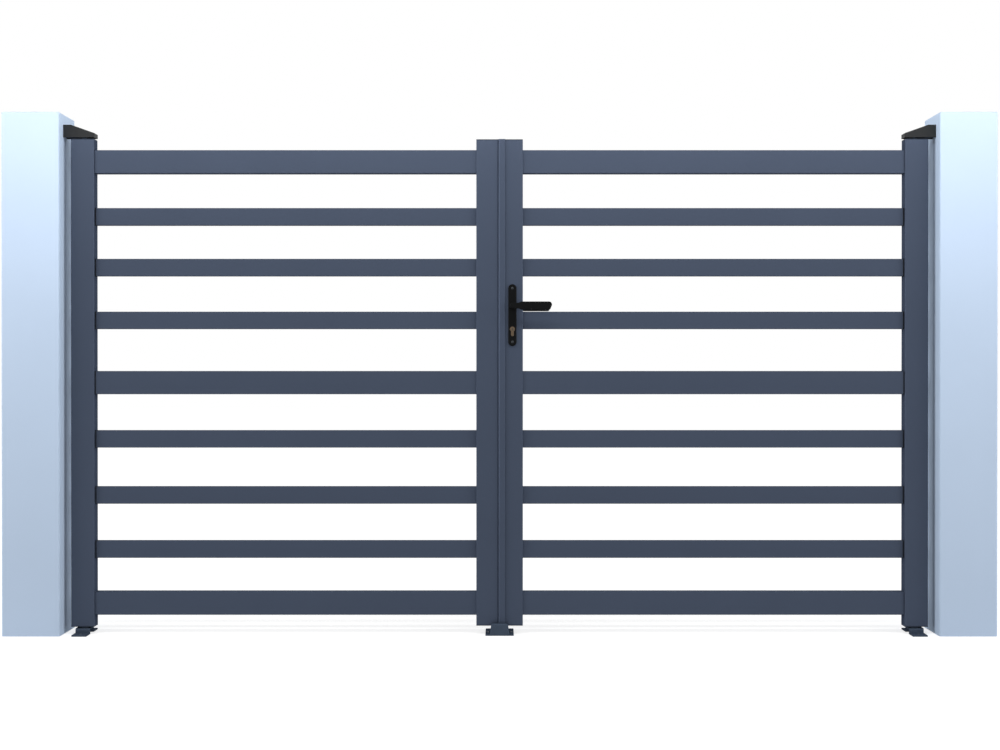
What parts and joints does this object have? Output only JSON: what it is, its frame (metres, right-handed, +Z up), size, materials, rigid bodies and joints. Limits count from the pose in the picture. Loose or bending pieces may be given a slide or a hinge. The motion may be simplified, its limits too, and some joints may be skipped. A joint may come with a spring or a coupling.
{
  "type": "double-leaf aluminium swing gate with pillars",
  "caption": "Double swing gate of dark grey coated aluminium tubes with level rails and slats, a lever lock, floor pivots and a floor stop, hung between two plain rendered pillars.",
  "frame": {"origin": "on the ground in the middle of the passage, in the plane of the hinge axes, on the underside of the floor stop", "axes": "+X along the gate to the right as seen from the street, +Y from the street to the yard, +Z up"},
  "size_m": [3.394, 0.205, 1.788],
  "materials": {
    "render": "smooth pale render",
    "powder_coat": "matt anthracite blue-grey powder coat",
    "coated_steel": "dark grey powder coat",
    "cover_plastic": "moulded dark grey plastic",
    "plug_plastic": "moulded dark grey plastic",
    "handle_black": "black powder coat",
    "cylinder_brass": "dull nickel-plated brass",
    "lock_steel": "brushed"
  },
  "bodies": {
    "posts": {"left_pillar": "render", "left_top_bracket": "coated_steel", "left_bracket_cover": "cover_plastic", "left_floor_pivot": "coated_steel", "right_pillar": "render", "right_top_bracket": "coated_steel", "right_bracket_cover": "cover_plastic", "right_floor_pivot": "coated_steel", "floor_stop": "coated_steel"},
    "left_leaf": {"left_hinge_stile": "powder_coat", "left_meeting_stile": "powder_coat", "left_pivot_bushes": "plug_plastic", "left_stile_caps": "plug_plastic", "left_top_rail": "powder_coat", "left_upper_slat_1": "powder_coat", "left_upper_slat_2": "powder_coat", "left_upper_slat_3": "powder_coat", "left_middle_rail": "powder_coat", "left_lower_slat_1": "powder_coat", "left_lower_slat_2": "powder_coat", "left_lower_slat_3": "powder_coat", "left_bottom_rail": "powder_coat", "meeting_strip": "powder_coat"},
    "right_leaf": {"right_hinge_stile": "powder_coat", "right_meeting_stile": "powder_coat", "right_pivot_bushes": "plug_plastic", "right_stile_caps": "plug_plastic", "right_top_rail": "powder_coat", "right_upper_slat_1": "powder_coat", "right_upper_slat_2": "powder_coat", "right_upper_slat_3": "powder_coat", "right_middle_rail": "powder_coat", "right_lower_slat_1": "powder_coat", "right_lower_slat_2": "powder_coat", "right_lower_slat_3": "powder_coat", "right_bottom_rail": "powder_coat", "mortise_lock": "lock_steel", "lock_cylinder": "cylinder_brass", "front_handle_plate": "handle_black", "rear_handle_plate": "handle_black"},
    "lever": {"front_lever": "handle_black", "rear_lever": "handle_black", "handle_spindle": "lock_steel"}
  },
  "joints": [
    {"name": "left_leaf_hinge", "type": "hinge", "parent": "posts", "child": "left_leaf", "pos_m": [-1.4335, 0, 0], "axis": [0, 0, 1], "range_deg": [0, 100]},
    {"name": "right_leaf_hinge", "type": "hinge", "parent": "posts", "child": "right_leaf", "pos_m": [1.4335, 0, 0], "axis": [0, 0, -1], "range_deg": [0, 100]},
    {"name": "lever_turn", "type": "hinge", "parent": "right_leaf", "child": "lever", "pos_m": [0.044, 0, 1.128], "axis": [0, 1, 0], "range_deg": [0, 45], "stiffness_Nm_per_rad": 1, "springref_deg": -28.65}
  ]
}
